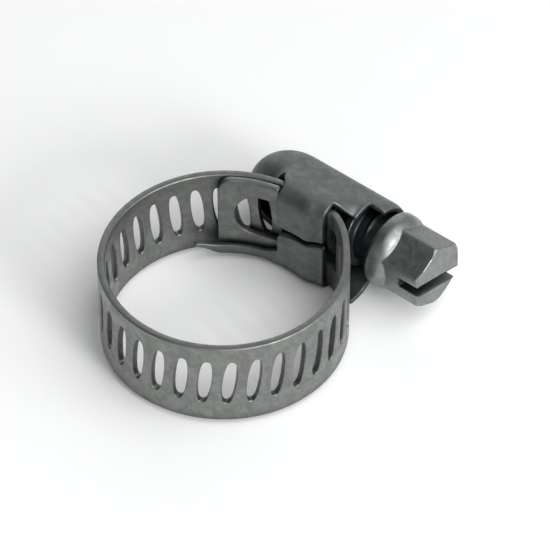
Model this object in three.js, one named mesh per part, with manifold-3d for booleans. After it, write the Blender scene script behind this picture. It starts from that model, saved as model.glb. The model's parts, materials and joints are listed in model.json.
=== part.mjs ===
// Small worm-drive hose clamp: a perforated steel strip bent into a loop, a one-piece formed
// housing crimped round the strip's fixed end, and a slotted hex-head screw whose worm pulls
// the strip's free end through the housing.
//
// Millimetres. X runs along the screw towards its head, Y from the loop's centre out through
// the housing, Z up across the strip's width. The parts are laid out about the loop's centre,
// half way up the strip, and the finished group is set down with the middle of its underside
// at the origin.

import * as THREE from 'three';
import { mergeVertices } from 'three/addons/utils/BufferGeometryUtils.js';
import Module from 'manifold-3d';

const wasm = await Module();
wasm.setup();

const DEG = Math.PI / 180;

// Strip
const STRIP_WIDTH = 8;
const STRIP_THICKNESS = 0.6;
const LOOP_OUTER_RADIUS = 10;
const SLOT_PITCH = 1.91;
const SLOT_LENGTH = 4.6;
const SLOT_WIDTH = 1.15;
const SLOT_LIFT = 0.2;
const TIP_TO_SLOT = 1.03;
const TIP_SHORT_OF_MIDDLE = 0.37;
const SEAM_GAP = 0.3;
const SEAMS_NEAR = [60, 180, 300];
const SLOT_BLUNTNESS = 0.7;

// Fixed end of the strip, lying inside the free end
const LAYER_GAP = 0.1;
const TONGUE_REACH = 6.2;
const TONGUE_CORNER = 1.1;
const TONGUE_TIP_LOW = 2.8;
const TONGUE_EDGE_DROP = 4.4;
const TONGUE_NECK_TRIM = 0.4;
const WINDOW_HEIGHT = 4.2;
const WINDOW_LIFT = 0.3;
const WINDOW_LEFT = 5.1;
const WINDOW_RIGHT = 4;
const JOGGLE_START = -9;
const JOGGLE_END = -22;
const JOGGLE_PROUD = 0.4;
const JOGGLE_FADE = -50;

// Screw
const THREAD_CREST_RADIUS = 2.75;
const THREAD_DEPTH = 0.65;
const THREAD_ENGAGEMENT = 0.35;
const THREAD_CREST_SHARE = 0.24;
const THREAD_ROOT_SHARE = 0.36;
const THREAD_START = -3.6;
const THREAD_END = 5.7;
const THREAD_RUNOUT = 0.8;
const PILOT_RADIUS = 1.1;
const PILOT_END = -5.3;
const PILOT_TIP_RADIUS = 0.66;
const PILOT_TIP_LENGTH = 0.44;
const SHANK_LAP = 0.2;
const JOURNAL_RADIUS = 2.3;
const COLLAR_RADIUS = 3.25;
const COLLAR_BACK = 6.6;
const COLLAR_FRONT = 8.1;
const COLLAR_ROUND = 0.35;
const HEX_ACROSS_FLATS = 5.3;
const HEX_END = 11.9;
const HEX_CHAMFER = 0.5;
const HEX_TURN = 2.4;
const DRIVER_SLOT_WIDTH = 0.95;
const DRIVER_SLOT_DEPTH = 2;
const DRIVER_SLOT_TURN = -15.6;
const DRIVER_SLOT_OFFSET = 0.6;

// Housing
const SHEET = 0.45;
const BARREL_CLEARANCE = 0.15;
const BARREL_LEFT = -7;
const BARREL_SHOULDER = -3;
const BARREL_RIGHT = 6.2;
const MOUTH_LEFT = 4.6;
const MOUTH_DEPTH = 0.35;
const FOOT_LEFT = -2.05;
const FOOT_RIGHT = 2.9;
const FOOT_TAPER = 0.9;
const LOWER_FOOT_RIGHT = 5.9;
const LOWER_FOOT_INNER = 8.9;
const FOOT_SHELF = 2.2;
const FOOT_CHAMFER = 0.4;
const EDGE_CLEARANCE = 0.08;
const UPPER_FLAP_EDGE = 0.6;
const LOWER_FLAP_EDGE = -0.1;
const FINGER_HEIGHT = 0.75;
const FINGER_LOW = -3.85;
const FINGER_TIP_RISE = 0.8;
const FINGER_REACH = 55;
const FINGER_KNEE = 38.5;
const FLAP_CHAMFER = 0.5;
const FIXED_END_CLEARANCE = 0.095;

// Fineness of the curved faces
const ARC_STEP = 3;
const SLOT_POINTS = 18;
const TURNED_SIDES = 48;
const PILOT_SIDES = 32;
const THREAD_SIDES = 36;
const THREAD_ROWS_PER_TURN = 14;
const DOME_STEPS = 8;
const LOOP_SIDES = 120;
const OVERCUT = 1;

// Sizes that follow from the ones above
const halfWidth = STRIP_WIDTH / 2;
const halfThickness = STRIP_THICKNESS / 2;
const loopRadius = LOOP_OUTER_RADIUS - halfThickness;
const tongueRadius = loopRadius - STRIP_THICKNESS - LAYER_GAP;
const proudRadius = loopRadius + JOGGLE_PROUD;
const pitchAngle = SLOT_PITCH / loopRadius / DEG;
const tipAngle = Math.asin(TIP_SHORT_OF_MIDDLE / loopRadius) / DEG;
const firstSlotAngle = tipAngle + TIP_TO_SLOT / loopRadius / DEG;
const seamAngle = SEAM_GAP / 2 / loopRadius / DEG;
const leadAngle = Math.atan(SLOT_PITCH / (2 * Math.PI * THREAD_CREST_RADIUS));
const screwAxisY = LOOP_OUTER_RADIUS - THREAD_ENGAGEMENT + THREAD_CREST_RADIUS;
const boreRadius = THREAD_CREST_RADIUS + BARREL_CLEARANCE;
const barrelRadius = boreRadius + SHEET;
const shelfInner = LOOP_OUTER_RADIUS + LAYER_GAP;
const shelfOuter = shelfInner + SHEET;
const channelHalf = halfWidth + EDGE_CLEARANCE;
const footHalf = channelHalf + SHEET;
const flapRadius = tongueRadius - halfThickness - LAYER_GAP - SHEET / 2;

// Seams between the strip's stretches, each half way between two slots
const [freeSeam, frontSeam, fixedSeam] = SEAMS_NEAR.map((angle) => {
  const slotsBefore = Math.round((angle - firstSlotAngle) / pitchAngle - 0.5);
  return firstSlotAngle + (slotsBefore + 0.5) * pitchAngle;
});

// A closed mesh as a solid, with the triangles that close up at a lathe's axis left out
function solid(geometry) {
  const bare = geometry.clone();
  bare.deleteAttribute('normal');
  bare.deleteAttribute('uv');
  const merged = mergeVertices(bare, 1e-5);
  const corners = merged.index.array;
  const kept = [];
  for (let i = 0; i < corners.length; i += 3) {
    const [a, b, c] = corners.subarray(i, i + 3);
    if (a !== b && b !== c && c !== a) kept.push(a, b, c);
  }
  const vertProperties = merged.attributes.position.array;
  const outward = signedVolume(vertProperties, kept) > 0;
  const triVerts = Uint32Array.from(outward ? kept : kept.reverse());
  return new wasm.Manifold(new wasm.Mesh({ numProp: 3, vertProperties, triVerts }));
}

function signedVolume(positions, corners) {
  const [a, b, c] = [new THREE.Vector3(), new THREE.Vector3(), new THREE.Vector3()];
  let volume = 0;
  for (let i = 0; i < corners.length; i += 3) {
    a.fromArray(positions, corners[i] * 3);
    b.fromArray(positions, corners[i + 1] * 3);
    c.fromArray(positions, corners[i + 2] * 3);
    volume += a.dot(b.cross(c)) / 6;
  }
  return volume;
}

function bufferGeometry(body) {
  const { vertProperties, triVerts } = body.getMesh();
  const geometry = new THREE.BufferGeometry();
  geometry.setAttribute('position', new THREE.BufferAttribute(vertProperties, 3));
  geometry.setIndex(new THREE.BufferAttribute(triVerts, 1));
  geometry.computeVertexNormals();
  return geometry;
}

function piece(name, body, color, roughness) {
  const material = new THREE.MeshStandardMaterial({ color, roughness, metalness: 1 });
  const mesh = new THREE.Mesh(bufferGeometry(body), material);
  mesh.name = name;
  return mesh;
}

// Point at an angle round the loop, measured from the housing (+Y) towards -X
function onLoop(angle, radius) {
  return new THREE.Vector2(-radius * Math.sin(angle * DEG), radius * Math.cos(angle * DEG));
}

// The two faces, in XY, of a sheet of even thickness about a curve of radiusAt(angle)
function sheetFaces(radiusAt, from, to, thickness) {
  const steps = Math.ceil(Math.abs(to - from) / ARC_STEP);
  const nudge = ARC_STEP / 30;
  const inner = [];
  const outer = [];
  for (let i = 0; i <= steps; i += 1) {
    const angle = from + ((to - from) * i) / steps;
    const middle = onLoop(angle, radiusAt(angle));
    const ahead = onLoop(angle + nudge, radiusAt(angle + nudge));
    const behind = onLoop(angle - nudge, radiusAt(angle - nudge));
    const along = ahead.sub(behind).normalize();
    const across = new THREE.Vector2(along.y, -along.x).multiplyScalar(thickness / 2);
    outer.push(middle.clone().add(across));
    inner.push(middle.clone().sub(across));
  }
  return { inner, outer };
}

function sheetOutline(radiusAt, from, to, thickness) {
  const { inner, outer } = sheetFaces(radiusAt, from, to, thickness);
  return new THREE.Shape(outer.concat(inner.reverse()));
}

// Prism of an XY outline between two heights
function upright(shape, low, high) {
  const geometry = new THREE.ExtrudeGeometry(shape, { depth: high - low, bevelEnabled: false });
  geometry.translate(0, 0, low);
  return solid(geometry);
}

// Prism of an XZ outline, running outwards along Y between two distances
function outwards(shape, near, far) {
  const geometry = new THREE.ExtrudeGeometry(shape, { depth: far - near, bevelEnabled: false });
  geometry.rotateX(Math.PI / 2);
  geometry.translate(0, far, 0);
  return solid(geometry);
}

function box(lowX, highX, lowY, highY, lowZ, highZ) {
  const geometry = new THREE.BoxGeometry(highX - lowX, highY - lowY, highZ - lowZ);
  geometry.translate((lowX + highX) / 2, (lowY + highY) / 2, (lowZ + highZ) / 2);
  return solid(geometry);
}

// Turned shape about the screw's axis, from (x, radius) pairs that start and end on the axis
function turned(profile, sides) {
  const points = profile.map(([x, radius]) => new THREE.Vector2(radius, x));
  const geometry = new THREE.LatheGeometry(points, sides);
  geometry.rotateZ(-Math.PI / 2);
  geometry.translate(0, screwAxisY, 0);
  return solid(geometry);
}

// Slot through the strip: a blunt-ended oval that leans with the thread's lead
function slotCutter(angle, radius) {
  const points = [];
  for (let i = 0; i < SLOT_POINTS; i += 1) {
    const turn = ((i + 0.5) / SLOT_POINTS) * 2 * Math.PI;
    const side = Math.sign(Math.cos(turn)) * Math.abs(Math.cos(turn)) ** SLOT_BLUNTNESS;
    points.push(new THREE.Vector2((side * SLOT_WIDTH) / 2, (Math.sin(turn) * SLOT_LENGTH) / 2));
  }
  const depth = 4 * STRIP_THICKNESS;
  const geometry = new THREE.ExtrudeGeometry(new THREE.Shape(points), { depth, bevelEnabled: false });
  geometry.rotateZ(-leadAngle);
  geometry.translate(0, SLOT_LIFT, radius - depth / 2);
  const outward = onLoop(angle, 1);
  const radial = new THREE.Vector3(outward.x, outward.y, 0);
  const upward = new THREE.Vector3(0, 0, 1);
  const tangent = new THREE.Vector3().crossVectors(upward, radial);
  geometry.applyMatrix4(new THREE.Matrix4().makeBasis(tangent, upward, radial));
  return solid(geometry);
}

// Part of the strip between two angles, with every slot of the row that falls inside it
function stretch(radiusAt, from, to) {
  let body = upright(sheetOutline(radiusAt, from, to, STRIP_THICKNESS), -halfWidth, halfWidth);
  const first = Math.ceil((from - firstSlotAngle) / pitchAngle);
  const last = Math.floor((to - firstSlotAngle) / pitchAngle);
  for (let i = Math.max(first, 0); i <= last; i += 1) {
    const angle = firstSlotAngle + i * pitchAngle;
    body = body.subtract(slotCutter(angle, radiusAt(angle)));
  }
  return body;
}

function smoothStep(value) {
  const share = THREE.MathUtils.clamp(value, 0, 1);
  return share * share * (3 - 2 * share);
}

// The fixed end lies one layer inside the loop, then steps outwards where it leaves the housing
function fixedEndRadius(angle) {
  const turn = angle > 180 ? angle - 360 : angle;
  const stepped = smoothStep((turn - JOGGLE_START) / (JOGGLE_END - JOGGLE_START));
  const faded = smoothStep((turn - JOGGLE_END) / (JOGGLE_FADE - JOGGLE_END));
  return tongueRadius + (proudRadius - tongueRadius) * stepped - JOGGLE_PROUD * faded;
}

function freeEnd() {
  return stretch(() => loopRadius, tipAngle, freeSeam - seamAngle);
}

function leftStretch() {
  return stretch(() => loopRadius, freeSeam + seamAngle, frontSeam - seamAngle);
}

function rightStretch() {
  return stretch(() => loopRadius, frontSeam + seamAngle, fixedSeam - seamAngle);
}

// Window through the tongue, round at its left end
function tongueWindow() {
  const radius = WINDOW_HEIGHT / 2;
  const shape = new THREE.Shape();
  shape.moveTo(WINDOW_RIGHT, WINDOW_LIFT - radius);
  shape.lineTo(WINDOW_RIGHT, WINDOW_LIFT + radius);
  shape.lineTo(radius - WINDOW_LEFT, WINDOW_LIFT + radius);
  shape.absarc(radius - WINDOW_LEFT, WINDOW_LIFT, radius, Math.PI / 2, (3 * Math.PI) / 2, false);
  return outwards(shape, loopRadius / 2, loopRadius + STRIP_WIDTH);
}

// Outline of the tongue seen from the loop's centre: a rounded upper corner and a lower edge
// that slopes up towards its end
function tongueTrim() {
  const shape = new THREE.Shape();
  const wide = 2 * LOOP_OUTER_RADIUS;
  const high = STRIP_WIDTH;
  shape.moveTo(-TONGUE_REACH, -TONGUE_TIP_LOW);
  shape.lineTo(-TONGUE_REACH, halfWidth - TONGUE_CORNER);
  shape.quadraticCurveTo(-TONGUE_REACH, halfWidth, TONGUE_CORNER - TONGUE_REACH, halfWidth);
  shape.lineTo(TONGUE_CORNER - TONGUE_REACH, high);
  shape.lineTo(wide, high);
  shape.lineTo(wide, -high);
  shape.lineTo(TONGUE_EDGE_DROP - TONGUE_REACH, -high);
  shape.lineTo(TONGUE_EDGE_DROP - TONGUE_REACH, -halfWidth);
  return outwards(shape, -wide, wide);
}

function fixedEnd() {
  const tongueAngle = Math.asin(TONGUE_REACH / tongueRadius) / DEG + ARC_STEP;
  const from = fixedSeam + seamAngle;
  const outline = sheetOutline(fixedEndRadius, from, 360 + tongueAngle, STRIP_THICKNESS);
  let body = upright(outline, -halfWidth, halfWidth).intersect(tongueTrim());
  const last = 360 + JOGGLE_END - pitchAngle / 2;
  const first = Math.ceil((from - firstSlotAngle) / pitchAngle);
  for (let angle = firstSlotAngle + first * pitchAngle; angle < last; angle += pitchAngle) {
    body = body.subtract(slotCutter(angle, fixedEndRadius(angle)));
  }
  const neckHalf = halfWidth - TONGUE_NECK_TRIM;
  const neckLeft = FOOT_LEFT - LAYER_GAP;
  const upperNotch = box(neckLeft, FOOT_RIGHT, 0, loopRadius, neckHalf, STRIP_WIDTH);
  const lowerNotch = box(neckLeft, FOOT_RIGHT, 0, loopRadius, -STRIP_WIDTH, -neckHalf);
  return body.subtract(tongueWindow()).subtract(upperNotch).subtract(lowerNotch);
}

// Thread height from 0 at the root to 1 on the crest, with phase counted in turns
function threadHeight(phase) {
  const turn = phase - Math.round(phase);
  const flank = (1 - THREAD_CREST_SHARE - THREAD_ROOT_SHARE) / 2;
  return THREE.MathUtils.clamp((THREAD_CREST_SHARE / 2 + flank - Math.abs(turn)) / flank, 0, 1);
}

// Right-handed worm: a cylinder whose skin is drawn in between the turns of the thread. A crest
// faces the loop's centre where the free end's first slot lies.
function worm() {
  const length = THREAD_END - THREAD_START;
  const rows = Math.round((length / SLOT_PITCH) * THREAD_ROWS_PER_TURN);
  const geometry = new THREE.CylinderGeometry(1, 1, length, THREAD_SIDES, rows);
  geometry.rotateZ(-Math.PI / 2);
  geometry.translate((THREAD_START + THREAD_END) / 2, 0, 0);
  const rootRadius = THREAD_CREST_RADIUS - THREAD_DEPTH;
  const slotX = onLoop(firstSlotAngle, LOOP_OUTER_RADIUS).x;
  const position = geometry.attributes.position;
  for (let i = 0; i < position.count; i += 1) {
    const x = position.getX(i);
    const turn = Math.atan2(position.getZ(i), position.getY(i)) / (2 * Math.PI);
    const height = threadHeight((x - slotX) / SLOT_PITCH - turn + 0.5);
    const endDistance = Math.min(x - THREAD_START, THREAD_END - x);
    const runout = smoothStep(endDistance / THREAD_RUNOUT);
    const radius = rootRadius + THREAD_DEPTH * height * runout;
    const scale = Math.hypot(position.getY(i), position.getZ(i)) * radius;
    const angle = turn * 2 * Math.PI;
    position.setXYZ(i, x, scale * Math.cos(angle), scale * Math.sin(angle));
  }
  geometry.translate(0, screwAxisY, 0);
  return solid(geometry);
}

function hexHead() {
  const corner = HEX_ACROSS_FLATS / 2 / Math.cos(30 * DEG);
  const prism = new THREE.CylinderGeometry(corner, corner, HEX_END - COLLAR_FRONT + COLLAR_ROUND, 6);
  prism.rotateY(HEX_TURN * DEG);
  prism.rotateZ(-Math.PI / 2);
  prism.translate((HEX_END + COLLAR_FRONT - COLLAR_ROUND) / 2, screwAxisY, 0);
  const flat = HEX_ACROSS_FLATS / 2;
  const cone = turned([
    [COLLAR_BACK, 0],
    [COLLAR_BACK, corner + HEX_CHAMFER],
    [HEX_END - HEX_CHAMFER, corner + HEX_CHAMFER / 4],
    [HEX_END, flat],
    [HEX_END, 0],
  ], TURNED_SIDES);
  return solid(prism).intersect(cone);
}

function screw() {
  const shank = turned([
    [PILOT_END, 0],
    [PILOT_END, PILOT_TIP_RADIUS],
    [PILOT_END + PILOT_TIP_LENGTH, PILOT_RADIUS],
    [THREAD_START + SHANK_LAP, PILOT_RADIUS],
    [THREAD_START + SHANK_LAP, 0],
  ], PILOT_SIDES);
  const collar = turned([
    [THREAD_END - SHANK_LAP, 0],
    [THREAD_END - SHANK_LAP, JOURNAL_RADIUS],
    [COLLAR_BACK, JOURNAL_RADIUS],
    [COLLAR_BACK, COLLAR_RADIUS],
    [COLLAR_FRONT - COLLAR_ROUND, COLLAR_RADIUS],
    [COLLAR_FRONT - COLLAR_ROUND / 3, COLLAR_RADIUS - COLLAR_ROUND / 3],
    [COLLAR_FRONT, COLLAR_RADIUS - COLLAR_ROUND],
    [COLLAR_FRONT, 0],
  ], TURNED_SIDES);
  const reach = COLLAR_RADIUS;
  const cutter = new THREE.BoxGeometry(DRIVER_SLOT_DEPTH * 2, 2 * reach, DRIVER_SLOT_WIDTH);
  cutter.translate(HEX_END, 0, -DRIVER_SLOT_OFFSET);
  cutter.rotateX(DRIVER_SLOT_TURN * DEG);
  cutter.translate(0, screwAxisY, 0);
  return worm().add(shank).add(collar).add(hexHead()).subtract(solid(cutter));
}

// Barrel over the worm, drawn in to a rounded left end and cut open underneath
function barrel() {
  const reach = BARREL_SHOULDER - BARREL_LEFT;
  const outside = [[BARREL_LEFT, 0]];
  const inside = [[BARREL_LEFT + SHEET, 0]];
  for (let i = 1; i <= DOME_STEPS; i += 1) {
    const turn = ((i / DOME_STEPS) * Math.PI) / 2;
    outside.push([BARREL_SHOULDER - reach * Math.cos(turn), barrelRadius * Math.sin(turn)]);
    inside.push([BARREL_SHOULDER - (reach - SHEET) * Math.cos(turn), boreRadius * Math.sin(turn)]);
  }
  outside.push([BARREL_RIGHT - SHEET, barrelRadius], [BARREL_RIGHT, boreRadius + SHEET / 3]);
  outside.push([BARREL_RIGHT, 0]);
  inside.push([BARREL_RIGHT + SHEET, boreRadius], [BARREL_RIGHT + SHEET, 0]);
  const left = BARREL_LEFT - OVERCUT;
  const right = BARREL_RIGHT + OVERCUT;
  const side = barrelRadius + OVERCUT;
  const underside = box(left, right, -side, shelfInner, -side, side);
  const mouth = box(MOUTH_LEFT, right, 0, screwAxisY - MOUTH_DEPTH, 0, side);
  const shell = turned(outside, TURNED_SIDES).subtract(underside).subtract(mouth);
  return { shell, bore: turned(inside, TURNED_SIDES) };
}

function flapPath(angle) {
  return fixedEndRadius(angle) - tongueRadius + flapRadius;
}

// XY outline of the housing's side wall, from the inside of the flap out to the shelf
function footShape(flapFrom, flapTo) {
  const { inner } = sheetFaces(flapPath, flapFrom, flapTo, SHEET);
  return new THREE.Shape([
    ...inner,
    new THREE.Vector2(FOOT_RIGHT, shelfInner),
    new THREE.Vector2(FOOT_RIGHT, shelfOuter),
    new THREE.Vector2(FOOT_LEFT, shelfOuter),
    new THREE.Vector2(FOOT_LEFT, shelfInner),
  ]);
}

// Finger of the lower flap that runs on inside the tongue's lower edge and rises to a point
function finger(flapFrom) {
  const reach = (angle) => flapRadius * Math.sin(angle * DEG);
  const shape = new THREE.Shape();
  const rootAngle = flapFrom - ARC_STEP;
  const root = reach(rootAngle);
  const knee = reach(FINGER_KNEE);
  const tip = reach(FINGER_REACH);
  shape.moveTo(-root, FINGER_LOW);
  shape.lineTo(-root, FINGER_LOW + FINGER_HEIGHT);
  shape.lineTo(-knee, FINGER_LOW + FINGER_HEIGHT);
  shape.lineTo(-tip, FINGER_LOW + FINGER_HEIGHT + FINGER_TIP_RISE);
  shape.lineTo(-tip, FINGER_LOW + FINGER_HEIGHT / 2 + FINGER_TIP_RISE);
  shape.lineTo(-knee, FINGER_LOW);
  const band = sheetOutline(() => flapRadius, rootAngle, FINGER_REACH + ARC_STEP, SHEET);
  const tall = upright(band, -footHalf, 0);
  return tall.intersect(outwards(shape, 0, LOOP_OUTER_RADIUS));
}

// Wedge that takes the sharp outer edge off the shelf, above (1) or below (-1)
function shelfChamfer(side) {
  const size = FOOT_CHAMFER * Math.SQRT2;
  const length = LOWER_FOOT_RIGHT - FOOT_LEFT + 2 * OVERCUT;
  const geometry = new THREE.BoxGeometry(length, size, size);
  geometry.rotateX(45 * DEG);
  geometry.translate(FOOT_LEFT + length / 2 - OVERCUT, shelfOuter, side * footHalf);
  return solid(geometry);
}

// Cone that takes the sharp edge off the bend between side wall and flap, above (1) or below (-1)
function flapChamfer(side) {
  const inner = flapRadius - SHEET / 2;
  const wide = inner + FLAP_CHAMFER + OVERCUT;
  const height = FLAP_CHAMFER + 2 * OVERCUT;
  const geometry = new THREE.CylinderGeometry(wide, wide - height, height, LOOP_SIDES);
  geometry.rotateX((side * Math.PI) / 2);
  geometry.translate(0, 0, side * (footHalf + OVERCUT - height / 2));
  return solid(geometry);
}

function housing() {
  const flapFrom = Math.asin((-FOOT_LEFT - FOOT_TAPER) / flapRadius) / DEG;
  const flapTo = -Math.asin(FOOT_RIGHT / (flapRadius + JOGGLE_PROUD)) / DEG;
  const flap = sheetOutline(flapPath, flapFrom, flapTo, SHEET);
  const foot = footShape(flapFrom, flapTo);
  const { shell, bore } = barrel();
  const shelf = box(FOOT_LEFT, FOOT_RIGHT, shelfInner, shelfOuter, -footHalf, footHalf);
  const lowerShelf = box(FOOT_LEFT, LOWER_FOOT_RIGHT, shelfInner, shelfOuter, -footHalf, -FOOT_SHELF);
  const wallLeft = FOOT_RIGHT - OVERCUT;
  const wallRight = LOWER_FOOT_RIGHT;
  const lowerWall = box(wallLeft, wallRight, LOWER_FOOT_INNER, shelfOuter, -footHalf, -channelHalf);
  const body = shell
    .add(shelf)
    .add(lowerShelf)
    .add(lowerWall)
    .add(upright(foot, channelHalf, footHalf))
    .add(upright(foot, -footHalf, -channelHalf))
    .add(upright(flap, UPPER_FLAP_EDGE, footHalf))
    .add(upright(flap, -footHalf, LOWER_FLAP_EDGE))
    .add(finger(flapFrom));
  const room = STRIP_THICKNESS + 2 * FIXED_END_CLEARANCE;
  const fixedRoom = sheetOutline(fixedEndRadius, -FINGER_REACH, FINGER_REACH, room);
  return body
    .subtract(bore)
    .subtract(upright(fixedRoom, -channelHalf, channelHalf))
    .subtract(shelfChamfer(1))
    .subtract(shelfChamfer(-1))
    .subtract(flapChamfer(1))
    .subtract(flapChamfer(-1));
}

const clamp = new THREE.Group();
clamp.add(
  piece('housing', housing(), '#6b6f6c', 0.42),
  piece('screw', screw(), '#7a7d79', 0.36),
  piece('strip_fixed_end', fixedEnd(), '#7d807b', 0.4),
  piece('strip_right_stretch', rightStretch(), '#7d807b', 0.4),
  piece('strip_left_stretch', leftStretch(), '#7d807b', 0.4),
  piece('strip_free_end', freeEnd(), '#7d807b', 0.4),
);

// Set the clamp down with the middle of its underside at the origin
const extent = new THREE.Box3().setFromObject(clamp);
const middle = extent.getCenter(new THREE.Vector3());
clamp.position.set(-middle.x, -middle.y, -extent.min.z);

const group = new THREE.Group();
group.add(clamp);
group.updateMatrixWorld(true);

export default group;
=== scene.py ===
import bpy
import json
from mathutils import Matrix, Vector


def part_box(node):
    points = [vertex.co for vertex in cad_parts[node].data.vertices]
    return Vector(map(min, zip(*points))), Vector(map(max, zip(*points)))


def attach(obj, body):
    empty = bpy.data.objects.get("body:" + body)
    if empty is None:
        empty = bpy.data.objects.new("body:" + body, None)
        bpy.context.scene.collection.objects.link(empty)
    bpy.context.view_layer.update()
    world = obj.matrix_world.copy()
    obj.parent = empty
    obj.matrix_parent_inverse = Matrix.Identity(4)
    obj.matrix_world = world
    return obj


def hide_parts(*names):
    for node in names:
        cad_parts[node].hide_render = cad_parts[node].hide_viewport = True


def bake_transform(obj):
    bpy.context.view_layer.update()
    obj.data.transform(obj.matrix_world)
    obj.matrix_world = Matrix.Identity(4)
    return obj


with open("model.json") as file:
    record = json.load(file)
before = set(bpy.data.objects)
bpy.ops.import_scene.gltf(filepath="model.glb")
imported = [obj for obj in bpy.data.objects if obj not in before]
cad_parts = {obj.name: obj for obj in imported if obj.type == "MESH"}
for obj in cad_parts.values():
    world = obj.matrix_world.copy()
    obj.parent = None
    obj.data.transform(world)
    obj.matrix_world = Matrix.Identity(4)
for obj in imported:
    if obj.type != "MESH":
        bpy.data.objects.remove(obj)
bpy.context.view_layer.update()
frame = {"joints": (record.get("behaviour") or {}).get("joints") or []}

# Small stainless worm-drive hose clamp: a perforated strip bent into a loop, a formed housing
# crimped round the strip's fixed end, and a slotted hex-head screw.
#
# Sizes are millimetres about the loop's centre, half way up the strip: X along the screw towards
# its head, Y from the centre out through the housing, Z across the strip. Angles round the loop
# are degrees from the housing (+Y) towards -X. `placed` turns them into metres in the row frame.

import json
import math

import bmesh
import bpy
import numpy as np
from mathutils import Vector

# Strip
STRIP_HALF = 4.0
THICK_HALF = 0.3
LOOP_OUTER = 10.0
PITCH = 1.91
SLOT_LENGTH = 4.6
SLOT_WIDTH = 1.05
SLOT_LIFT = 0.2
SLOT_BLUNTNESS = 0.7
TIP_ANGLE = 2.186
TIP_TO_SLOT = 1.03
EDGE_ROUND = 0.1
EDGE_HOLD = 0.05
FACE_HALF = STRIP_HALF - EDGE_ROUND

# Last slot before each cut between the strip's pieces, and the last slot of all
TIP_CUT_SLOT = 10
MIDDLE_CUT_SLOT = 20
LAST_SLOT = 28

# Steps of the strip's mesh along a slot's cell, across the strip and along the tongue
ALONG_STEPS = 12
ACROSS_STEPS = 22
TONGUE_STEPS = 72

# Fixed end of the strip
TONGUE_RADIUS = 9.0
PROUD_RADIUS = 10.1
JOGGLE_START = -9.0
JOGGLE_END = -22.0
JOGGLE_FADE = -50.0
TONGUE_REACH = 6.2
TONGUE_CORNER = 1.1
TONGUE_TIP_LOW = 2.95
TONGUE_TIP_CORNER = 0.3
TONGUE_SLOPE_FROM = 1.8
NECK_EASE = 0.14
NECK_LEFT = 1.5
NECK_RIGHT = 2.6
NECK_HALF = 3.6
WINDOW_LEFT = 5.1
WINDOW_RIGHT = 4.0
WINDOW_HALF = 2.1
WINDOW_LIFT = 0.3
WINDOW_CORNER = 0.45

# Screw
AXIS_Y = 12.4
CREST_RADIUS = 2.75
THREAD_DEPTH = 0.65
CREST_SHARE = 0.24
ROOT_SHARE = 0.36
THREAD_START = -3.6
THREAD_END = 5.7
THREAD_RUNOUT = 0.8
PILOT_RADIUS = 1.1
PILOT_TIP_RADIUS = 0.55
PILOT_END = -5.3
JOURNAL_RADIUS = 2.3
COLLAR_RADIUS = 3.25
COLLAR_BACK = 6.6
COLLAR_ROUND = 0.6
COLLAR_SHOULDER = 7.5
COLLAR_DOME = 1.2
COLLAR_DOME_ROOT = 2.2
HEX_APOTHEM = 2.65
HEX_CORNER = 3.0
HEX_END = 11.9
HEX_CHAMFER = 0.35
HEX_TRIM = 0.24
HEX_TURN = 2.4
DRIVER_WIDTH = 0.95
DRIVER_DEPTH = 2.0
DRIVER_TURN = -15.6
DRIVER_OFFSET = 0.6
DRIVER_EASE = 0.09

# Housing
SHEET = 0.45
BARREL_MIDDLE = 3.125
DOME_LEFT = -6.775
DOME_SHOULDER = -3.0
BARREL_RIGHT = 6.1
BARREL_UNDERSIDE = 10.2
MOUTH_LEFT = 4.6
MOUTH_TURN = -3.0
NECK_TURN = 6.0
NECK_SLOPE = 30.0
NECK_RADIUS = 3.0
NECK_FADE = 1.5
SHOULDER_Y = 9.6
FLANK_END = 11.0
FOOT_LEFT = -2.05
FOOT_RIGHT = 2.85
LOWER_FOOT_RIGHT = 5.9
WALL_MIDDLE = 4.29
WALL_END = 8.9
BEND_RADIUS = 1.05
FLAP_RADIUS = 8.375
FLAP_LEFT = -1.3
FLAP_RIGHT = 3.15
FLAP_CORNER = 0.8
FLAP_JOGGLE_SHARE = 0.85
UPPER_FLAP_EDGE = 0.5
UPPER_FLAP_RISE = 0.4
LOWER_FLAP_EDGE = 0.15
LOWER_FLAP_FALL = 0.5
MOUTH_DRAW = 0.14
MOUTH_DRAW_FROM = 5.4
RIM_ROUND = 0.1

# Lip that carries on from the lower flap: angles round the loop, heights across the strip
FINGER_REACH = 57.0
FINGER_LOW = -3.85
FINGER_LOW_FROM = 41
FINGER_LOW_RISE = 1.1
FINGER_HIGH = -2.85
FINGER_HIGH_FROM = 42
FINGER_HIGH_RISE = 0.45
FINGER_FLARE = 0.2

# Rows and shares of the housing's surfaces
FLANK_LINES = (3.0, 3.3, 3.6, 3.9, 4.2, 4.45, MOUTH_LEFT)
MOUTH_LINES = (4.8, 5.1, 5.4, 5.6, 5.8, LOWER_FOOT_RIGHT)
SIDE_ROWS = 13
NECK_ROWS = 18
WALL_ROWS = NECK_ROWS + 2
BEND_ROWS = WALL_ROWS + 10
FLANK_ROWS = 15
FLAP_SHARES = np.array([0.14, 0.28, 0.42, 0.55, 0.67, 0.76, 0.83, 0.89, 0.945, 1])
FLAP_ROWS = BEND_ROWS + len(FLAP_SHARES)

# Camera, fitted to the loop's rims
CAMERA_AZIMUTH = 39.7
CAMERA_ELEVATION = 45.63
CAMERA_DISTANCE = 0.2906
CAMERA_LENS = 237.6
CAMERA_AIM = (0.000874, 0.001266, 0.00453)

# Finishes
PIT_DEPTH = 0.45
PIT_SHADE = 0.62
# Gain on the light grey along edges, which is partly bare worn metal and partly a painted highlight
WEAR_AND_HIGHLIGHT_GAIN = 1.6
# Colour and depth of the painted shade that darkens folds, slots and recesses
PAINTED_SHADE_COLOUR = (0.02, 0.024, 0.028)
PAINTED_SHADE_DEPTH = 0.85
RELIEF_DEPTH = 0.00012

# Middle of the studio's dark side, which the faces between the front and the top mirror
DARK_SKY = (-0.447, -0.418, 0.789)

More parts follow.
